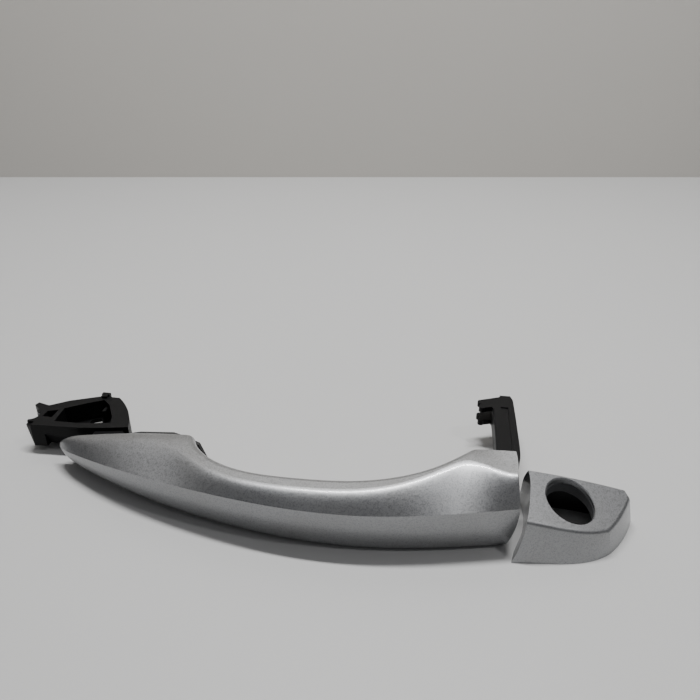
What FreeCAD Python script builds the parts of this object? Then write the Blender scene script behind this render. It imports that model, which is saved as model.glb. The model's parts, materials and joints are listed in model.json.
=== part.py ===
import FreeCAD, Part
import math
import os

from FreeCAD import Placement, Rotation, Vector

# Pull-type outer door handle with its loose end cap, lying on its lower side.
# Design frame: X runs along the grip from its pointed tip, Y = 0 is the door skin and -Y points
# away from the door, Z = 0 is the surface that the handle lies on. Every piece is then placed by
# minus middle_x, middle_y, so that the origin is at the bottom centre of the whole object.

SIZES = [
    # name, millimetres
    ("middle_x", 114.0), ("middle_y", 12.6),
    ("grip_length", 206.0), ("end_bow", 45.0), ("end_bow_level", 19.0),
    ("wall", 2.4), ("end_wall", 1.8), ("seam", 0.2),
    ("gap_start", 68.0), ("gap_end", 184.0), ("gap_depth", 21.5),
    ("gap_edge", 3.6), ("gap_low_edge", 3.4),
    ("cover_low", 6.2), ("cover_high", 20.5), ("cover_start", 84.0), ("cover_end", 166.0),
    ("core_low", 9.0), ("core_height", 8.0), ("core_thick", 3.6),
    ("arm_low", 3.0), ("arm_height", 12.0), ("arm_floor", 2.4), ("arm_recess", 1.0), ("arm_hole", 3.1),
    ("neck_low", 8.2), ("neck_height", 5.0), ("plate_start", 0.2), ("plate_thick", 2.6),
    ("pivot_x", -22.5), ("pivot_y", 13.5), ("seat_radius", 4.0), ("liner_wall", 0.8),
    ("tail_low", 11.4), ("tail_height", 9.8), ("tail_edge", 0.9), ("fork_plate", 2.5), ("bump", 1.5),
    ("pad_start", 0.2), ("pad_thick", 1.8),
    ("cap_wall", 2.0), ("cap_height", 27.0), ("cap_ridge", 2.0), ("rim_edge", 0.45),
    ("lock_x", 226.4), ("lock_y", -8.3), ("lock_radius", 9.8), ("collar_wall", 1.4), ("collar_depth", 6.0),
    ("screw_head", 2.6), ("screw_head_height", 1.6), ("screw_shank", 1.3), ("screw_length", 6.0),
]

doc = FreeCAD.newDocument("DoorHandle")
sheet = doc.addObject("Spreadsheet::Sheet", "Sizes")
for row, (name, value) in enumerate(SIZES, start=1):
    sheet.set(f"A{row}", name)
    sheet.set(f"B{row}", str(value))
    sheet.setAlias(f"B{row}", name)
doc.recompute()
size = {name: sheet.get(name) for name, _ in SIZES}
sub_parts = []


def finish(shape_object, node):
    """Name a sub-part and put it into the object's frame."""
    shape_object.Label = node
    shape_object.setExpression("Placement.Base.x", "-Sizes.middle_x")
    shape_object.setExpression("Placement.Base.y", "-Sizes.middle_y")
    sub_parts.append(shape_object)
    return shape_object


def finish_shape(node, shape):
    """Make a sub-part of a shape that no feature describes well."""
    feature = doc.addObject("Part::Feature", node)
    feature.Shape = shape
    return finish(feature, node)


def origin_plane(body, role):
    """Give one of a body's own origin planes."""
    return next(plane for plane in body.Origin.OriginFeatures if plane.Role == role)


def sketch_on(body, name, role, geometry, level):
    """Draw closed outlines on an origin plane of the body, moved along its normal by level."""
    sketch = body.newObject("Sketcher::SketchObject", name)
    sketch.AttachmentSupport = [(origin_plane(body, role), "")]
    sketch.MapMode = "FlatFace"
    if isinstance(level, str):
        sketch.setExpression("AttachmentOffset.Base.z", level)
    else:
        sketch.AttachmentOffset = Placement(Vector(0, 0, level), Rotation())
    sketch.addGeometry(geometry, False)
    return sketch


def closed_lines(points):
    """Straight edges round a list of (x, y) points."""
    corners = [Vector(x, y, 0) for x, y in points]
    return [Part.LineSegment(a, b) for a, b in zip(corners, corners[1:] + corners[:1])]


def spline_through(points):
    """A smooth curve through a list of (x, y) points."""
    curve = Part.BSplineCurve()
    curve.interpolate([Vector(x, y, 0) for x, y in points])
    return curve


def bezier(*poles):
    """A curve with the given poles, as a B-spline."""
    curve = Part.BezierCurve()
    curve.setPoles([Vector(y, z, 0) for y, z in poles])
    return curve.toBSpline()


def pad(body, name, geometry, level, height, role="XY_Plane"):
    """Pad outlines along the plane's normal."""
    feature = body.newObject("PartDesign::Pad", name)
    feature.Profile = sketch_on(body, name + "_outline", role, geometry, level)
    if isinstance(height, str):
        feature.setExpression("Length", height)
    else:
        feature.Length = height
    doc.recompute()
    return feature


def pocket(body, name, geometry, level, depth, role="XY_Plane", upwards=True):
    """Cut outlines out of the body along the plane's normal, and check that something went."""
    before = body.Shape.Volume
    feature = body.newObject("PartDesign::Pocket", name)
    feature.Profile = sketch_on(body, name + "_outline", role, geometry, level)
    feature.Reversed = upwards
    if isinstance(depth, str):
        feature.setExpression("Length", depth)
    else:
        feature.Length = depth
    doc.recompute()
    if body.Shape.Volume >= before - 1e-3:
        raise RuntimeError(name + " cuts nothing")
    return feature


def round_edges(body, name, edges, radius):
    """Fillet the named edges of the body's last feature."""
    base = body.Tip
    feature = body.newObject("PartDesign::Fillet", name)
    feature.Base = (base, edges)
    feature.setExpression("Radius", radius)
    doc.recompute()
    return feature


# --- the grip's blade -----------------------------------------------------------------------

# Along the grip: how far the character line stands off the door and its height, the same for the
# crest that follows the finger gap, and the heights of the upper back edge and the lower edge.
STATIONS = [
    # x, line_y, line_z, crest_y, crest_z, back_z, low_z
    (0.0, -1.4, 10.2, -0.5, 11.6, 11.3, 8.4),
    (4.0, -5.0, 11.4, -1.4, 14.6, 14.3, 7.0),
    (14.0, -10.6, 13.4, -3.2, 17.7, 17.1, 5.4),
    (33.0, -18.6, 16.2, -5.0, 21.2, 20.3, 3.8),
    (56.0, -25.8, 18.2, -7.6, 24.0, 22.8, 2.2),
    (66.0, -28.3, 18.82, -13.0, 24.5, 23.4, 1.66),
    (76.0, -30.5, 19.36, -19.6, 24.9, 23.8, 1.23),
    (86.0, -32.4, 19.8, -24.4, 25.2, 24.2, 0.9),
    (120.0, -36.2, 20.6, -28.8, 26.1, 25.2, 0.4),
    (154.0, -34.4, 21.0, -25.0, 28.3, 27.4, 0.3),
    (168.0, -31.84, 21.22, -18.8, 30.1, 29.2, 0.3),
    (176.0, -30.02, 21.36, -13.4, 31.3, 30.3, 0.3),
    (184.0, -28.0, 21.5, -8.8, 32.3, 31.3, 0.3),
    (212.0, -20.2, 22.0, -5.5, 33.9, 33.0, 0.3),
]
UNDERCUT = 0.085
CREST_ROUND = 3.0


def blade_section(line, crest, back_z, low_z, inset, back):
    """A cross-section: front and back of the crest, outer face, lower corner, underside and back."""
    line = (line[0] + 1.1*inset, line[1] - 0.4*inset)
    crest = (crest[0] + 0.3*inset, crest[1] - inset)
    low = low_z + inset
    corner_y = line[0] + UNDERCUT*abs(line[0]) + 0.4
    corner = (corner_y, low)
    rounding = min(3.6, 0.28*(line[1] - low), 0.4*abs(corner_y))
    slant = (line[0] - corner_y)/(line[1] - low)
    above_corner = (corner_y + slant*rounding, low + rounding)
    behind_corner = (corner_y + rounding, low)
    belly = (corner_y + slant*0.62*(line[1] - low) - 0.35, low + 0.62*(line[1] - low))
    turn = (crest[0] - min(CREST_ROUND, 0.35*(crest[0] - line[0])), crest[1])
    rise = (0.45*line[0] + 0.55*turn[0], 0.45*line[1] + 0.55*turn[1] + 0.25)
    top_back = (back, back_z - inset)
    slope = back - crest[0]
    return [
        bezier(line, rise, turn, crest),
        bezier(crest, (crest[0] + 0.45*slope, crest[1]),
               (back - 0.2*slope, 0.5*(crest[1] + top_back[1])), top_back),
        bezier(line, belly, above_corner),
        bezier(above_corner, corner, behind_corner),
        Part.LineSegment(Vector(*behind_corner, 0), Vector(back, low, 0)),
        Part.LineSegment(Vector(back, low, 0), Vector(*top_back, 0)),
    ]


def blade_body(name, inset, back, first=0):
    """The grip as a full blade from its outer skin to the door plane, moved inwards by inset."""
    body = doc.addObject("PartDesign::Body", name)
    sections = []
    for number, (x, line_y, line_z, crest_y, crest_z, back_z, low_z) in enumerate(STATIONS[first:]):
        geometry = blade_section((line_y, line_z), (crest_y, crest_z), back_z, low_z, inset, back)
        sections.append(sketch_on(body, f"{name}_section_{number}", "YZ_Plane", geometry, x))
    doc.recompute()
    loft = body.newObject("PartDesign::AdditiveLoft", name + "_loft")
    loft.Profile = sections[0]
    loft.Sections = sections[1:]
    loft.Ruled = False
    doc.recompute()
    return body


def gap_points(out):
    """Points of the finger gap's inner face, moved out of the gap by a distance."""
    start, end, depth = size["gap_start"], size["gap_end"], size["gap_depth"]
    face = [
        (start - 3.0, 4.0), (start + 6.0, -10.0), (start + 22.0, -0.87*depth),
        (start + 48.0, -depth), (end - 28.6, -0.83*depth), (end - 8.8, -9.0), (end + 3.6, 4.0),
    ]
    if not out:
        return face
    curve = spline_through(face)
    moved = []
    for x, y in face:
        at = curve.parameter(Vector(x, y, 0))
        along = curve.tangent(at)[0]
        moved.append((x + out*along.y, y - out*along.x))
    return moved


def gap_outline(out):
    """The finger gap seen along Z, closed behind the door plane."""
    face = gap_points(out)
    first, last = face[0], face[-1]
    return [
        spline_through(face),
        *[Part.LineSegment(Vector(*a, 0), Vector(*b, 0)) for a, b in
          [(last, (last[0], 12.0)), ((last[0], 12.0), (first[0], 12.0)), ((first[0], 12.0), first)]],
    ]


def end_outline(back):
    """What lies beyond the grip's bowed right-hand end, moved in by a distance, seen along -Y."""
    radius, level = size["end_bow"], size["end_bow_level"]
    middle = size["grip_length"] - back - radius
    reach = 24.0
    edge = middle + math.sqrt(radius**2 - reach**2)
    low, high = Vector(edge, level - reach, 0), Vector(edge, level + reach, 0)
    bow = Part.Arc(low, Vector(middle + radius, level, 0), high)
    far = edge + 30.0
    return [
        bow,
        Part.LineSegment(high, Vector(far, level + reach, 0)),
        Part.LineSegment(Vector(far, level + reach, 0), Vector(far, level - reach, 0)),
        Part.LineSegment(Vector(far, level - reach, 0), low),
    ]


def edges_where(shape, test):
    """Names of the edges whose bounding box passes a test."""
    return [f"Edge{number}" for number, edge in enumerate(shape.Edges, start=1) if test(edge.BoundBox)]


def prism(outline, low, high):
    """Extrude a closed outline of XY points between two heights."""
    wire = Part.makePolygon([Vector(x, y, low) for x, y in [*outline, outline[0]]])
    return Part.Face(wire).extrude(Vector(0, 0, high - low))


def band(out_near, out_far, low, high, start, end):
    """A wall that follows the finger gap's inner face, between two distances and two heights."""
    near, far = gap_points(out_near), gap_points(out_far)
    near_edge = spline_through(near).toShape()
    far_edge = spline_through(far).toShape()
    sides = [Part.LineSegment(Vector(*near[i], 0), Vector(*far[i], 0)).toShape() for i in (0, -1)]
    wire = Part.Wire(Part.__sortEdges__([near_edge, far_edge, *sides]))
    wall = Part.Face(wire).extrude(Vector(0, 0, high - low))
    wall.translate(Vector(0, 0, low))
    return wall.common(Part.makeBox(end - start, 120, 60, Vector(start, -60, -10)))


blade = blade_body("blade", 0.0, 0.0)
pocket(blade, "finger_gap", gap_outline(0.0), -5.0, 60.0)
long_edge = 0.5*(size["gap_end"] - size["gap_start"])
round_edges(blade, "gap_upper_round", edges_where(
    blade.Shape, lambda box: box.YMin < -15 and box.YMax > -0.1 and box.ZMin > 20
    and box.XMin > 50 and box.XLength < 2.4*long_edge), "Sizes.gap_edge")
round_edges(blade, "gap_lower_round", edges_where(
    blade.Shape, lambda box: box.YMin < -15 and box.YMax > -0.1 and box.ZMax < 6
    and box.XMin > 50 and box.XLength < 2.4*long_edge), "Sizes.gap_low_edge")
pocket(blade, "end_cut", end_outline(0.0), -60.0, 120.0, role="XZ_Plane")

cavity = blade_body("cavity", size["wall"], 1.0, first=1)
pocket(cavity, "cavity_gap", gap_outline(size["wall"]), -5.0, 60.0)
pocket(cavity, "cavity_end", end_outline(size["end_wall"]), -60.0, 120.0, role="XZ_Plane")


# --- painted grip: outer shell and finger-side cover ------------------------------------------

seam = size["seam"]
cover_band = band(-1.5, size["wall"], size["cover_low"], size["cover_high"], size["cover_start"],
                  size["cover_end"])
cover_window = band(-2.0, size["wall"] + 2.0, size["cover_low"] - seam, size["cover_high"] + seam,
                    size["cover_start"] - seam, size["cover_end"] + seam)
finish_shape("grip_back_cover", blade.Shape.common(cover_band))
finish_shape("grip_shell", blade.Shape.cut(cavity.Shape).cut(cover_window))


# --- core beam ---------------------------------------------------------------------------------

core_line = [(34.0, -7.0), (56.0, -15.2), (80.0, -23.2), (116.0, -27.4), (150.0, -26.0),
             (172.0, -19.4), (192.0, -8.4)]
half_core = 0.5*size["core_thick"]
core_sides = [spline_through([(x, y + side*half_core) for x, y in core_line]) for side in (1, -1)]
core_ends = [Part.LineSegment(Vector(x, y + half_core, 0), Vector(x, y - half_core, 0))
             for x, y in (core_line[0], core_line[-1])]
core = doc.addObject("PartDesign::Body", "core_beam_body")
pad(core, "core_bar", core_sides + core_ends, "Sizes.core_low", "Sizes.core_height")
finish(core, "core_beam")


# --- hinge arm ---------------------------------------------------------------------------------

ARM_HOLE = (3.2, 25.6)
pivot = Vector(size["pivot_x"], size["pivot_y"], 0)
seat = size["seat_radius"]
seat_face = -21.6
seat_half = math.sqrt(seat**2 - (seat_face - pivot.x)**2)
arm_outline = [
    Part.Arc(Vector(seat_face, pivot.y - seat_half, 0), pivot + Vector(seat, 0, 0),
             Vector(seat_face, pivot.y + seat_half, 0)),
]
arm_corners = [
    (seat_face, pivot.y + seat_half), (-21.6, 18.6), (-25.4, 21.6), (-24.6, 24.0), (-18.4, 22.4),
    (-10.6, 28.1), (3.6, 34.8), (12.6, 34.8),
]
arm_outline += [Part.LineSegment(Vector(*a, 0), Vector(*b, 0))
                for a, b in zip(arm_corners, arm_corners[1:])]
arm_outline.append(Part.Arc(Vector(12.6, 34.8, 0), Vector(21.6, 25.2, 0), Vector(28.1, 11.8, 0)))
front_corners = [(28.1, 11.8), (20.0, 9.8), (12.8, 8.4), (5.0, 7.2), (-7.0, 6.4), (-18.4, 5.6),
                 (-21.4, 7.1), (seat_face, pivot.y - seat_half)]
arm_outline += [Part.LineSegment(Vector(*a, 0), Vector(*b, 0))
                for a, b in zip(front_corners, front_corners[1:])]

arm = doc.addObject("PartDesign::Body", "hinge_arm_body")
pad(arm, "arm_block", arm_outline, "Sizes.arm_low", "Sizes.arm_height")
channel = [(-8.6, 10.4), (2.7, 10.8), (10.8, 11.9), (18.4, 13.6), (16.4, 19.0), (10.6, 28.0),
           (6.1, 31.6), (-1.5, 27.0), (-9.6, 21.2)]
pocket(arm, "arm_channel", closed_lines(channel), "Sizes.arm_low + Sizes.arm_floor", 30.0)
slot = [(-16.4, 13.2), (-11.6, 13.2), (-11.6, 19.6), (-16.4, 17.6)]
pocket(arm, "arm_slot", closed_lines(slot), "Sizes.arm_low + Sizes.arm_floor", 30.0)
front_step = [(-30.0, 4.0), (-18.0, 4.0), (-18.0, 8.4), (-30.0, 8.4)]
pocket(arm, "seat_step", closed_lines(front_step), "Sizes.arm_low + Sizes.arm_height - 1.2", 5.0)
recess = [(-5.0, 14.0), (12.6, 15.4), (8.6, 27.4), (5.0, 30.6), (-5.0, 24.4)]
pocket(arm, "arm_underside", closed_lines(recess), "Sizes.arm_low + Sizes.arm_recess", 10.0, upwards=False)
hole = [Part.Circle(Vector(*ARM_HOLE, 0), Vector(0, 0, 1), size["arm_hole"])]
pocket(arm, "arm_floor_hole", hole, 0.0, 10.0)
# The walls are drafted: the front and the hinge end lean in towards the bottom.
front_lean = [(4.0, 2.0), (9.4, 2.0), (9.4, 3.0), (4.0, 15.0)]
pocket(arm, "front_draft", closed_lines(front_lean), -12.0, 60.0, role="YZ_Plane", upwards=True)
end_lean = [(-26.0, 2.0), (-18.4, 2.0), (-18.4, 3.0), (-21.4, 13.0), (-26.0, 13.0)]
pocket(arm, "end_draft", closed_lines(end_lean), -10.4, 20.0, role="XZ_Plane", upwards=True)
neck = [(13.0, -0.6), (31.0, -0.6), (31.0, 4.0), (23.4, 14.0), (13.0, 12.0)]
pad(arm, "arm_neck", closed_lines(neck), "Sizes.neck_low", "Sizes.neck_height")
root = [(11.0, 8.3), (57.0, 5.4), (57.0, 19.6), (11.0, 13.8)]
pad(arm, "arm_root_plate", closed_lines(root), "Sizes.plate_start", "Sizes.plate_thick", role="XZ_Plane")
stop = [(13.0, 20.0), (20.4, 20.0), (18.6, 28.4), (13.0, 30.4)]
pad(arm, "arm_stop", closed_lines(stop), 0.0, "Sizes.arm_low + 1")
nub = [(3.9, 33.0), (6.6, 33.0), (6.6, 36.6), (3.9, 36.6)]
pad(arm, "arm_nub", closed_lines(nub), 8.6, 7.6)
nub_head = [(3.2, 34.9), (7.3, 34.9), (7.3, 36.6), (3.2, 36.6)]
pad(arm, "arm_nub_head", closed_lines(nub_head), 13.4, 2.8)
rib = [(7.0, 26.0), (8.6, 26.4), (8.6, 31.4), (7.0, 31.8)]
pad(arm, "arm_rib", closed_lines(rib), "Sizes.arm_low + 1", 8.0)
arm_screw_spots = [(40.0, 12.6), (50.0, 12.6)]
holes = [Part.Circle(Vector(x, z, 0), Vector(0, 0, 1), size["screw_shank"] + 0.05)
         for x, z in arm_screw_spots]
pocket(arm, "arm_screw_holes", holes, 10.0, 20.0, role="XZ_Plane", upwards=False)
finish(arm, "hinge_arm")

# --- pivot liner -------------------------------------------------------------------------------

liner_ring = Part.makeCylinder(seat, size["arm_height"] - 1.4).cut(
    Part.makeCylinder(seat - size["liner_wall"], size["arm_height"]))
liner_ring.translate(Vector(pivot.x, pivot.y, size["arm_low"] + 0.1))
liner_keep = Part.makeBox(10, 20, 40, Vector(seat_face + 0.1, pivot.y - 10, 0))
finish_shape("pivot_liner", liner_ring.common(liner_keep))


# --- pull tail ---------------------------------------------------------------------------------

# The bar leaves the grip between the end wall and the root plate, steps out past the grip's end and
# runs back in a slight bow to the forked tip.
TAIL_OUTER = [(202.8, -2.8), (203.0, 0.6), (205.2, 5.4), (206.9, 10.0), (207.4, 17.0), (206.9, 30.0),
              (206.2, 44.0), (205.4, 56.8)]
TAIL_INNER = [(193.0, -2.8), (193.4, 0.6), (195.2, 5.4), (196.6, 10.0), (197.0, 17.0), (196.7, 27.0),
              (196.2, 38.0), (195.6, 48.6)]
tail_tip = [(205.4, 56.8), (203.9, 60.4), (199.0, 60.2), (198.8, 58.8), (190.0, 54.8), (189.6, 53.4),
            (190.4, 48.2), (191.4, 48.0), (195.2, 49.4), (195.6, 48.6)]
tail_outline = [spline_through(TAIL_OUTER), spline_through(TAIL_INNER)]
tail_outline += [Part.LineSegment(Vector(*a, 0), Vector(*b, 0)) for a, b in zip(tail_tip, tail_tip[1:])]
tail_outline.append(Part.LineSegment(Vector(*TAIL_OUTER[0], 0), Vector(*TAIL_INNER[0], 0)))
tail = doc.addObject("PartDesign::Body", "pull_tail_body")
pad(tail, "tail_bar", tail_outline, "Sizes.tail_low", "Sizes.tail_height")
for number, spot in enumerate([(190.0, 53.2), (190.7, 49.0)]):
    pad(tail, f"tail_bump_{number}", [Part.Circle(Vector(*spot, 0), Vector(0, 0, 1), size["bump"])],
        "Sizes.tail_low", "Sizes.tail_height")
fork = [(186.0, 46.0), (195.0, 46.0), (195.6, 48.0), (195.6, 64.0), (186.0, 64.0)]
pocket(tail, "tail_fork", closed_lines(fork), "Sizes.tail_low + Sizes.fork_plate",
       "Sizes.tail_height - 2*Sizes.fork_plate")
flute = [(200.2, 8.0), (203.8, 8.0), (204.0, 20.0), (202.8, 50.0), (199.4, 50.0), (200.4, 20.0)]
pocket(tail, "tail_upper_flute", closed_lines(flute), "Sizes.tail_low + Sizes.tail_height - 0.5", 5.0)
round_edges(tail, "tail_edge_round", edges_where(
    tail.Shape, lambda box: box.YLength > 45 and box.ZLength < 0.1), "Sizes.tail_edge")
tail_root = [(188.6, 5.6), (200.6, 5.6), (200.6, 27.0), (188.6, 27.0)]
pad(tail, "tail_root_plate", closed_lines(tail_root), "Sizes.plate_start", "Sizes.plate_thick",
    role="XZ_Plane")
tail_screw_spots = [(192.4, 8.4), (192.4, 24.2)]
holes = [Part.Circle(Vector(x, z, 0), Vector(0, 0, 1), size["screw_shank"] + 0.05)
         for x, z in tail_screw_spots]
pocket(tail, "tail_screw_holes", holes, 10.0, 20.0, role="XZ_Plane", upwards=False)
finish(tail, "pull_tail")


# --- root screws and the brass inserts that they turn into ---------------------------------------

def along_y(radius, start, length, x, z):
    """A cylinder that runs from start towards the grip's face."""
    return Part.makeCylinder(radius, length, Vector(x, start, z), Vector(0, -1, 0))


def root_screws(node, spots):
    """Pan-head screws through a root plate, one solid each."""
    shapes = []
    back = -size["plate_start"]
    head_height = size["screw_head_height"]
    for x, z in spots:
        head = along_y(size["screw_head"], back + head_height, head_height, x, z)
        shank = along_y(size["screw_shank"], back, size["screw_length"], x, z)
        drive = along_y(1.0, back + head_height + 0.1, 0.9, x, z)
        shapes.append(head.fuse(shank).cut(drive).removeSplitter())
    finish_shape(node, Part.makeCompound(shapes))


def root_inserts(node, spots):
    """Sleeves behind a root plate that take the screws."""
    shapes = []
    start = -size["plate_start"] - size["plate_thick"]
    for x, z in spots:
        sleeve = along_y(2.1, start, 3.2, x, z).cut(along_y(size["screw_shank"], start + 1, 6.0, x, z))
        shapes.append(sleeve)
    finish_shape(node, Part.makeCompound(shapes))


def root_block(node, outline, low, high, spots):
    """The plastic block behind a root plate that holds its inserts."""
    block = prism(outline, low, high)
    start = -size["plate_start"] - size["plate_thick"]
    for x, z in spots:
        block = block.cut(along_y(2.15, start + 1, 4.4, x, z)).cut(along_y(1.5, start, 20.0, x, z))
    finish_shape(node, block)


root_screws("arm_screws", arm_screw_spots)
root_screws("tail_screws", tail_screw_spots)
root_inserts("arm_screw_inserts", arm_screw_spots)
root_inserts("tail_screw_inserts", tail_screw_spots)
root_block("front_root_block", [(36.6, -2.9), (55.4, -2.9), (55.4, -9.2), (46.0, -8.6), (36.6, -6.0)],
           8.4, 17.4, arm_screw_spots)
root_block("rear_root_block", [(189.6, -2.9), (196.8, -2.9), (196.8, -6.3), (189.6, -6.3)],
           6.4, 26.8, tail_screw_spots)


# --- foam blocks and spring clips inside the grip -------------------------------------------------

def core_y(x):
    """Where the core beam's middle runs."""
    curve = spline_through(core_line)
    return curve.intersectCC(Part.LineSegment(Vector(x, -60, 0), Vector(x, 20, 0)).toNurbs())[0].Y


foam = []
for x in (102.0, 126.0, 150.0):
    foam.append(Part.makeBox(7.0, 1.0, 6.0, Vector(x - 3.5, core_y(x) - half_core - 1.6, 10.0)))
finish_shape("rattle_pads", Part.makeCompound(foam))

clips = []
for x in (104.0, 140.0):
    y = core_y(x) + 0.2
    plate = Part.makeBox(6.0, 4.2, 0.5, Vector(x - 3.0, y - 1.6, 17.4))
    leg = Part.makeBox(6.0, 0.5, 3.6, Vector(x - 3.0, y - 2.0, 17.4))
    clips.append(plate.fuse(leg).removeSplitter())
finish_shape("cover_clips", Part.makeCompound(clips))


# --- gaskets that stay on the door ----------------------------------------------------------------

def gasket(node, outline, *slots):
    """A flat gasket under a foot, with slots for the arm or tail and for screw heads."""
    body = doc.addObject("PartDesign::Body", node + "_body")
    start = "-Sizes.pad_start - Sizes.pad_thick"
    pad(body, node + "_sheet", closed_lines(outline), start, "Sizes.pad_thick", role="XZ_Plane")
    for number, slot in enumerate(slots):
        pocket(body, f"{node}_slot_{number}", closed_lines(slot), 10.0, 20.0, role="XZ_Plane",
               upwards=False)
    finish(body, node)


gasket("front_foot_gasket",
       [(3.6, 7.0), (62.0, 2.6), (70.0, 4.2), (71.0, 9.0), (67.6, 18.2), (61.0, 21.0), (56.0, 22.4),
        (40.0, 20.8), (33.0, 18.9), (3.6, 12.9)],
       [(9.0, 7.6), (34.0, 7.0), (34.0, 13.8), (12.4, 13.6), (9.0, 12.2)],
       [(36.6, 9.4), (53.4, 9.4), (53.4, 15.8), (36.6, 15.8)])
gasket("rear_foot_gasket",
       [(187.6, 1.6), (201.6, 0.8), (203.0, 8.4), (203.6, 28.6), (202.4, 30.0), (187.6, 29.4)],
       [(189.2, 5.2), (196.0, 5.2), (196.0, 9.6), (210.0, 9.6), (210.0, 23.0), (196.0, 23.0),
        (196.0, 27.6), (189.2, 27.6)])


# --- end cap ---------------------------------------------------------------------------------------

# The cap lies on its back. Corners of its base, and of the same outline at cap_height, where the
# walls' lean has moved them. The crease runs up from the base between the near wall and the nose.
CAP_LEFT = 198.0
CAP_BASE = {
    "near": [(CAP_LEFT, -30.0), (226.0, -25.3), (236.1, -21.9), (240.8, -18.9), (243.6, -16.4)],
    "nose": [(243.6, -16.4), (248.4, -9.7), (252.1, -2.5), (254.7, 5.0)],
    "far": [(253.2, 9.0), (CAP_LEFT, 13.4)],
}
CAP_TOP = {
    "near": [(CAP_LEFT, -25.7), (222.3, -19.7), (230.8, -17.6), (235.0, -16.6), (238.4, -15.8)],
    "nose": [(238.4, -15.8), (242.0, -10.6), (244.9, -6.0), (248.2, -0.8)],
    "far": [(246.6, 2.4), (CAP_LEFT, -3.2)],
}
# The wall beside the grip is hollowed to the bow of the grip's end. Each row is that wall's edge at
# one height.
CAP_END = [
    (-2.0, [(203.0, -33.0), (203.7, -28.8), (204.8, -22.8), (206.6, -17.2), (208.5, -12.0), (209.8, -7.0),
            (210.2, -2.0), (209.6, 5.0), (208.7, 18.0)]),
    (9.0, [(206.6, -33.0), (207.5, -26.8), (208.4, -21.5), (209.2, -17.0), (209.8, -12.0), (210.2, -7.0),
           (210.1, -1.0), (209.2, 5.0), (208.4, 14.0)]),
    (18.3, [(208.2, -31.0), (208.9, -24.3), (209.5, -19.6), (209.9, -15.6), (210.2, -11.0), (210.3, -6.0),
            (209.7, -1.0), (208.4, 3.5), (207.8, 9.0)]),
    (28.0, [(208.4, -30.0), (209.0, -23.6), (209.7, -18.4), (210.2, -14.0), (210.5, -9.6), (210.6, -5.0),
            (210.2, -1.4), (209.2, 2.0), (208.4, 6.0)]),
]


def moved_in(points, dx, dy):
    """The same points, shifted."""
    return [(x + dx, y + dy) for x, y in points]


def cap_outline(corners, inset):
    """One outline of the cap, moved inwards by inset on every side but the one beside the grip."""
    near = moved_in(corners["near"], 0.0, inset)
    near[-1] = (near[-1][0] - 0.7*inset, near[-1][1] - 0.2*inset)
    nose = [near[-1], *moved_in(corners["nose"][1:], -inset, 0.45*inset)]
    nose[-1] = (nose[-1][0], corners["nose"][-1][1])
    far = [(corners["far"][0][0] - 0.9*inset, corners["far"][0][1] - 1.1*inset),
           (CAP_LEFT, corners["far"][1][1] - inset)]
    return [
        spline_through(near),
        spline_through(nose),
        Part.LineSegment(Vector(*nose[-1], 0), Vector(*far[0], 0)),
        Part.LineSegment(Vector(*far[0], 0), Vector(*far[1], 0)),
        Part.LineSegment(Vector(*far[1], 0), Vector(*near[0], 0)),
    ]


def loft_of(name, sections, ruled):
    """A loft through (height, outline) pairs."""
    body = doc.addObject("PartDesign::Body", name)
    sketches = [sketch_on(body, f"{name}_{number}", "XY_Plane", outline, level)
                for number, (level, outline) in enumerate(sections)]
    doc.recompute()
    loft = body.newObject("PartDesign::AdditiveLoft", name + "_loft")
    loft.Profile = sketches[0]
    loft.Sections = sketches[1:]
    loft.Ruled = ruled
    doc.recompute()
    return body.Shape


def end_section(points):
    """The room beside the grip at one height, closed far to the left."""
    first, last = points[0], points[-1]
    corners = [last, (190.0, last[1]), (190.0, first[1]), first]
    return [spline_through(points),
            *[Part.LineSegment(Vector(*a, 0), Vector(*b, 0)) for a, b in zip(corners, corners[1:])]]


end_room = loft_of("cap_end_room", [(level, end_section(points)) for level, points in CAP_END], False)


def cap_form(inset):
    """The cap's walls as a full block, moved inwards by inset."""
    block = loft_of(f"cap_form_{round(100*inset)}", [
        (0.0, cap_outline(CAP_BASE, inset)), (size["cap_height"], cap_outline(CAP_TOP, inset))], True)
    room = end_room.copy()
    room.translate(Vector(inset, 0, 0))
    return block.cut(room)


# The cap's face falls away from the grip and rises towards the upper edge of the fitted cap.
face_point = Vector(226.0, -8.0, 17.9)
face_normal = Vector(0.274, -0.262, 1.0).normalize()
face_turn = Rotation(Vector(0, 0, 1), face_normal)


def under_face(depth):
    """Everything below the cap's face, moved down by depth."""
    half_space = Part.makeBox(160, 160, 80, Vector(-80, -80, -80))
    half_space.Placement = Placement(face_point - face_normal*depth, face_turn)
    return half_space


def lock_bore(radius):
    """The round hole that the lock cylinder shows through."""
    return Part.makeCylinder(radius, 60, Vector(size["lock_x"], size["lock_y"], -5))


def slab(low, high):
    """Everything between two heights."""
    return Part.makeBox(120, 120, high - low, Vector(180, -60, low))


cap_wall = size["cap_wall"]
cap_solid = cap_form(0.0).common(under_face(0.0))
ridge = [edge for edge in cap_solid.Edges
         if edge.BoundBox.ZMin > 9 and edge.BoundBox.XLength > 5 and edge.CenterOfMass.y < -3]
cap_solid = cap_solid.makeFillet(size["cap_ridge"], ridge)
inside = cap_form(cap_wall)
cap_shape = cap_solid.cut(inside.common(under_face(cap_wall))).cut(lock_bore(size["lock_radius"]))
rim = [edge for edge in cap_shape.Edges
       if edge.BoundBox.ZMin > 12 and edge.BoundBox.ZLength > 3 and edge.CenterOfMass.z > 17
       and abs(edge.CenterOfMass.x - size["lock_x"]) < 1
       and abs(edge.BoundBox.XLength - 2*size["lock_radius"]) < 1]
cap_shape = cap_shape.makeChamfer(size["rim_edge"], rim)
finish_shape("cap_shell", cap_shape)

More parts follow.
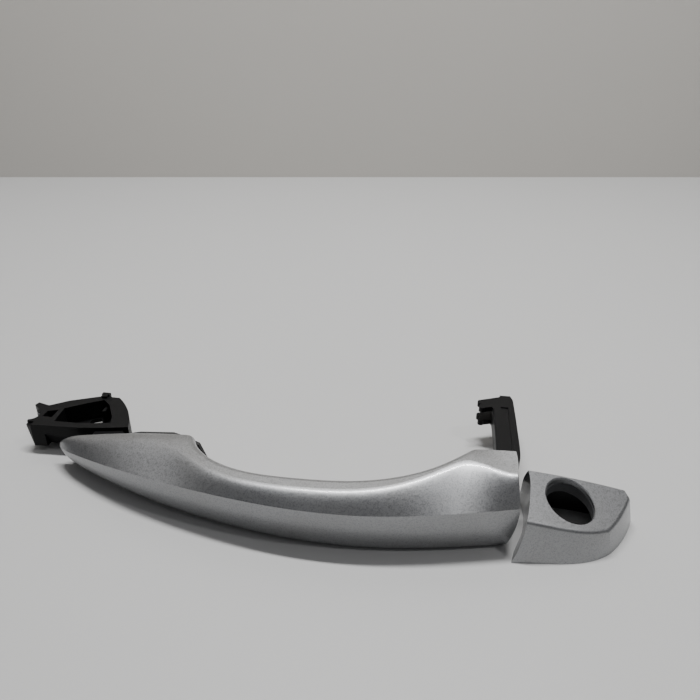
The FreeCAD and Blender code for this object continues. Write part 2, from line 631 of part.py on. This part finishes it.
collar_out = size["lock_radius"] + size["collar_wall"]
collar = lock_bore(collar_out).cut(lock_bore(size["lock_radius"] - 0.2))
collar = collar.common(under_face(cap_wall + 0.05)).cut(under_face(size["collar_depth"]))
finish_shape("lock_collar", collar.common(cap_form(cap_wall + 0.2)))

frame_inset = cap_wall + 0.3
frame_body = cap_form(frame_inset).common(under_face(cap_wall + 0.3))
frame_room = cap_form(frame_inset + 1.5).common(under_face(cap_wall + 1.7))
collar_room = lock_bore(collar_out + 0.2).cut(under_face(size["collar_depth"] + 0.3))
finish_shape("cap_frame", frame_body.cut(frame_room).cut(collar_room).common(slab(1.4, 30.0)))

seal_body = cap_form(frame_inset).cut(cap_form(frame_inset + 1.3))
finish_shape("cap_seal", seal_body.common(slab(0.0, 1.2)))

cap_clip_spots = [(214.8, -19.9), (222.4, -18.5)]
cap_clip_shapes = []
for x, y in cap_clip_spots:
    blade_spring = Part.makeBox(6.0, 0.5, 5.2, Vector(x, y - 0.25, 2.0))
    foot_spring = Part.makeBox(6.0, 2.4, 0.5, Vector(x, y - 0.15, 2.0))
    cap_clip_shapes.append(blade_spring.fuse(foot_spring).removeSplitter())
finish_shape("cap_clips", Part.makeCompound(cap_clip_shapes))


# --- checks and output -----------------------------------------------------------------------------

doc.recompute()
for item in doc.Objects:
    if "Invalid" in item.State or "Error" in item.State:
        raise RuntimeError(item.Name + " failed: " + str(item.State))
os.makedirs("parts", exist_ok=True)
for item in sub_parts:
    shape = item.Shape
    if shape.isNull() or not shape.isValid() or not shape.Solids:
        raise RuntimeError(item.Label + " has no valid solid")
    shape.exportStep("parts/" + item.Label + ".step")
    box = shape.BoundBox
    print(f"{item.Label:20s} solids {len(shape.Solids)} volume {shape.Volume:9.1f}"
          f"  x {box.XMin:7.1f} {box.XMax:7.1f}  y {box.YMin:6.1f} {box.YMax:6.1f}"
          f"  z {box.ZMin:5.1f} {box.ZMax:5.1f}")
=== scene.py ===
import json
import math

import bpy
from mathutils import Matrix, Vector

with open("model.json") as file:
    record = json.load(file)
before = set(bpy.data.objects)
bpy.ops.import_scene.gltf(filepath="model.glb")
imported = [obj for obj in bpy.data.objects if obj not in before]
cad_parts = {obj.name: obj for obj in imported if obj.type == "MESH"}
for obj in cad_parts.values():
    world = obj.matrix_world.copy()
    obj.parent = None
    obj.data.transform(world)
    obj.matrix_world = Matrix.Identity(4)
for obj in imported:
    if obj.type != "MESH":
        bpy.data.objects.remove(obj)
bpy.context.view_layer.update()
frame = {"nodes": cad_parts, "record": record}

nodes = frame["nodes"]


# --- small helpers for node materials ---------------------------------------------------------

class Shader:
    """A material's node tree with short ways to add and join nodes."""

    def __init__(self, name):
        self.material = bpy.data.materials.new(name)
        self.material.use_nodes = True
        self.tree = self.material.node_tree
        self.surface = self.tree.nodes["Principled BSDF"]
        self.place = self.add("ShaderNodeTexCoord").outputs["Object"]

    def add(self, kind, **settings):
        node = self.tree.nodes.new(kind)
        for key, value in settings.items():
            setattr(node, key, value)
        return node

    def join(self, source, target):
        self.tree.links.new(source, target)

    def noise(self, scale, detail=2.0, roughness=0.5, kind="ShaderNodeTexNoise"):
        node = self.add(kind)
        node.inputs["Scale"].default_value = scale
        if "Detail" in node.inputs:
            node.inputs["Detail"].default_value = detail
            node.inputs["Roughness"].default_value = roughness
        self.join(self.place, node.inputs["Vector"])
        return node

    def spread(self, source, low, high, from_low=0.0, from_high=1.0):
        """Map a value between two limits."""
        node = self.add("ShaderNodeMapRange")
        node.inputs["From Min"].default_value = from_low
        node.inputs["From Max"].default_value = from_high
        node.inputs["To Min"].default_value = low
        node.inputs["To Max"].default_value = high
        self.join(source, node.inputs["Value"])
        return node.outputs["Result"]

    def blend(self, factor, first, second):
        """Mix two colours; each is a colour tuple or a socket."""
        node = self.add("ShaderNodeMix", data_type="RGBA")
        self.join(factor, node.inputs["Factor"])
        for name, colour in (("A", first), ("B", second)):
            socket = next(s for s in node.inputs if s.name == name and s.type == "RGBA")
            if isinstance(colour, tuple):
                socket.default_value = (*colour, 1.0)
            else:
                self.join(colour, socket)
        return next(s for s in node.outputs if s.type == "RGBA")

    def bump(self, height, strength, distance):
        node = self.add("ShaderNodeBump")
        node.inputs["Strength"].default_value = strength
        node.inputs["Distance"].default_value = distance
        self.join(height, node.inputs["Height"])
        self.join(node.outputs["Normal"], self.surface.inputs["Normal"])

    def set(self, **values):
        for key, value in values.items():
            socket = self.surface.inputs[key.replace("_", " ")]
            socket.default_value = (*value, 1.0) if isinstance(value, tuple) else value


def silver_paint():
    """Silver paint: fine metal flakes under a clear coat, with orange peel, dust and fine wear."""
    shader = Shader("silver_paint")
    flakes = shader.noise(2300.0, kind="ShaderNodeTexVoronoi")
    tone = shader.spread(flakes.outputs["Color"], 0.0, 1.0)
    fresh = shader.blend(tone, (0.19, 0.192, 0.198), (0.36, 0.364, 0.372))
    cloud = shader.noise(38.0, detail=4.0, roughness=0.6)
    haze = shader.spread(cloud.outputs["Fac"], 0.0, 0.30, 0.46, 0.72)
    colour = shader.blend(haze, fresh, (0.28, 0.276, 0.265))
    shader.join(colour, shader.surface.inputs["Base Color"])
    sparkle = shader.spread(flakes.outputs["Color"], 0.33, 0.47)
    shader.join(sparkle, shader.surface.inputs["Roughness"])
    worn = shader.spread(cloud.outputs["Fac"], 0.05, 0.22, 0.40, 0.72)
    shader.join(worn, shader.surface.inputs["Coat Roughness"])
    peel = shader.noise(420.0, detail=1.0)
    shader.bump(peel.outputs["Fac"], 0.05, 0.0004)
    shader.set(Metallic=1.0, Coat_Weight=0.6)
    return shader.material


def black_nylon():
    """Glass-filled nylon: near black, satin, with a faint grain."""
    shader = Shader("black_nylon")
    grain = shader.noise(900.0, detail=3.0)
    colour = shader.blend(grain.outputs["Fac"], (0.003, 0.003, 0.0032), (0.009, 0.009, 0.0095))
    shader.join(colour, shader.surface.inputs["Base Color"])
    rough = shader.spread(grain.outputs["Fac"], 0.34, 0.52)
    shader.join(rough, shader.surface.inputs["Roughness"])
    shader.bump(grain.outputs["Fac"], 0.12, 0.0002)
    shader.set(Specular_IOR_Level=0.12)
    return shader.material


def plain_metal(name, dark, light, rough_low, rough_high):
    """Raw metal with fine streaks."""
    shader = Shader(name)
    streak = shader.noise(700.0, detail=4.0)
    colour = shader.blend(streak.outputs["Fac"], dark, light)
    shader.join(colour, shader.surface.inputs["Base Color"])
    rough = shader.spread(streak.outputs["Fac"], rough_low, rough_high)
    shader.join(rough, shader.surface.inputs["Roughness"])
    shader.bump(streak.outputs["Fac"], 0.08, 0.0002)
    shader.set(Metallic=1.0)
    return shader.material


def soft_rubber(name, dark, light, scale):
    """Matt rubber or foam with a fine pore structure."""
    shader = Shader(name)
    pores = shader.noise(scale, detail=3.0)
    colour = shader.blend(pores.outputs["Fac"], dark, light)
    shader.join(colour, shader.surface.inputs["Base Color"])
    rough = shader.spread(pores.outputs["Fac"], 0.62, 0.85)
    shader.join(rough, shader.surface.inputs["Roughness"])
    shader.bump(pores.outputs["Fac"], 0.25, 0.0003)
    return shader.material


materials = {
    "silver_paint": silver_paint(),
    "black_nylon": black_nylon(),
    "core_alloy": plain_metal("core_alloy", (0.42, 0.42, 0.43), (0.62, 0.62, 0.63), 0.35, 0.55),
    "acetal": soft_rubber("acetal", (0.06, 0.06, 0.065), (0.10, 0.10, 0.105), 500.0),
    "screw_steel": plain_metal("screw_steel", (0.38, 0.38, 0.40), (0.58, 0.58, 0.60), 0.25, 0.42),
    "brass": plain_metal("brass", (0.56, 0.40, 0.16), (0.76, 0.58, 0.28), 0.28, 0.44),
    "foam": soft_rubber("foam", (0.02, 0.02, 0.02), (0.07, 0.07, 0.07), 1800.0),
    "spring_steel": plain_metal("spring_steel", (0.36, 0.36, 0.37), (0.55, 0.55, 0.57), 0.22, 0.40),
    "gasket_rubber": soft_rubber("gasket_rubber", (0.012, 0.012, 0.012), (0.030, 0.030, 0.030), 1200.0),
    "collar_plastic": soft_rubber("collar_plastic", (0.05, 0.052, 0.055), (0.085, 0.087, 0.09), 900.0),
}
slot_of = {part["node"]: part["material_slot"] for part in frame["record"]["subparts"]}
for name, piece in nodes.items():
    piece.data.materials.clear()
    piece.data.materials.append(materials[slot_of[name]])


# --- floor, backdrop, light and camera ------------------------------------------------------------

CAMERA_AT = Vector((0.0638, -0.2485, 0.2040))
CAMERA_PITCH = math.radians(28.7)
CAMERA_TURN = math.radians(10.1)
WALL_AWAY = 0.77
WALL_HALF_WIDTH = 2.5
WALL_HEIGHT = 2.2
TABLE_DEPTH = 3.0
TABLE_COLOUR = (0.53, 0.53, 0.527)
TABLE_ROUGHNESS = 0.55
WALL_COLOUR = (0.56, 0.54, 0.505)
WALL_ROUGHNESS = 0.85
SKY_STRENGTH = 0.13
LIGHTS = [
    # name, place, point that it faces, width, height, power
    ("tube", (0.02, 0.19, 1.05), (0.02, 0.0, 0.0), 0.62, 0.06, 13.6),
    ("ceiling", (-0.2, 0.1, 1.7), (0.0, 0.0, 0.0), 1.6, 1.2, 2.2),
    ("side_lamp", (0.55, -0.16, 0.84), (0.12, -0.02, 0.0), 0.05, 0.05, 1.0),
]

forward = Vector((-math.sin(CAMERA_TURN), math.cos(CAMERA_TURN), 0.0))
sideways = Vector((forward.y, -forward.x, 0.0))


def flat_stage(name, corners, material):
    """A flat quad that isn't part of the object."""
    mesh = bpy.data.meshes.new(name)
    mesh.from_pydata(corners, [], [(0, 1, 2, 3)])
    mesh.materials.append(material)
    sheet = bpy.data.objects.new(name, mesh)
    bpy.context.scene.collection.objects.link(sheet)


def stage_material(name, colour, rough):
    shader = Shader(name)
    cloud = shader.noise(6.0)
    low = tuple(0.97*value for value in colour)
    shader.join(shader.blend(cloud.outputs["Fac"], low, colour), shader.surface.inputs["Base Color"])
    shader.set(Roughness=rough)
    return shader.material


wall_foot = Vector((CAMERA_AT.x, CAMERA_AT.y, 0.0)) + WALL_AWAY*forward
left = wall_foot - WALL_HALF_WIDTH*sideways
right = wall_foot + WALL_HALF_WIDTH*sideways
near_left = left - TABLE_DEPTH*forward
near_right = right - TABLE_DEPTH*forward
flat_stage("table", [near_left, near_right, right, left],
           stage_material("table_top", TABLE_COLOUR, TABLE_ROUGHNESS))
up = Vector((0.0, 0.0, WALL_HEIGHT))
flat_stage("backdrop", [left, right, right + up, left + up],
           stage_material("wall_paint", WALL_COLOUR, WALL_ROUGHNESS))


def softbox(name, at, aim, width, height, power):
    """A rectangular area light that faces a point."""
    light = bpy.data.lights.new(name, "AREA")
    light.shape = "RECTANGLE"
    light.size = width
    light.size_y = height
    light.energy = power
    lamp = bpy.data.objects.new(name, light)
    lamp.location = at
    lamp.rotation_euler = (Vector(aim) - Vector(at)).to_track_quat("-Z", "Y").to_euler()
    bpy.context.scene.collection.objects.link(lamp)


for light_settings in LIGHTS:
    softbox(*light_settings)

world = bpy.data.worlds.new("studio")
world.use_nodes = True
world.node_tree.nodes["Background"].inputs["Color"].default_value = (0.95, 0.96, 1.0, 1.0)
world.node_tree.nodes["Background"].inputs["Strength"].default_value = SKY_STRENGTH
bpy.context.scene.world = world

lens = bpy.data.cameras.new("camera")
lens.lens = 36.0
lens.sensor_width = 36.0
lens.clip_start = 0.01
camera = bpy.data.objects.new("camera", lens)
camera.location = CAMERA_AT
camera.rotation_euler = (math.radians(90.0) - CAMERA_PITCH, 0.0, CAMERA_TURN)
bpy.context.scene.collection.objects.link(camera)
bpy.context.scene.camera = camera
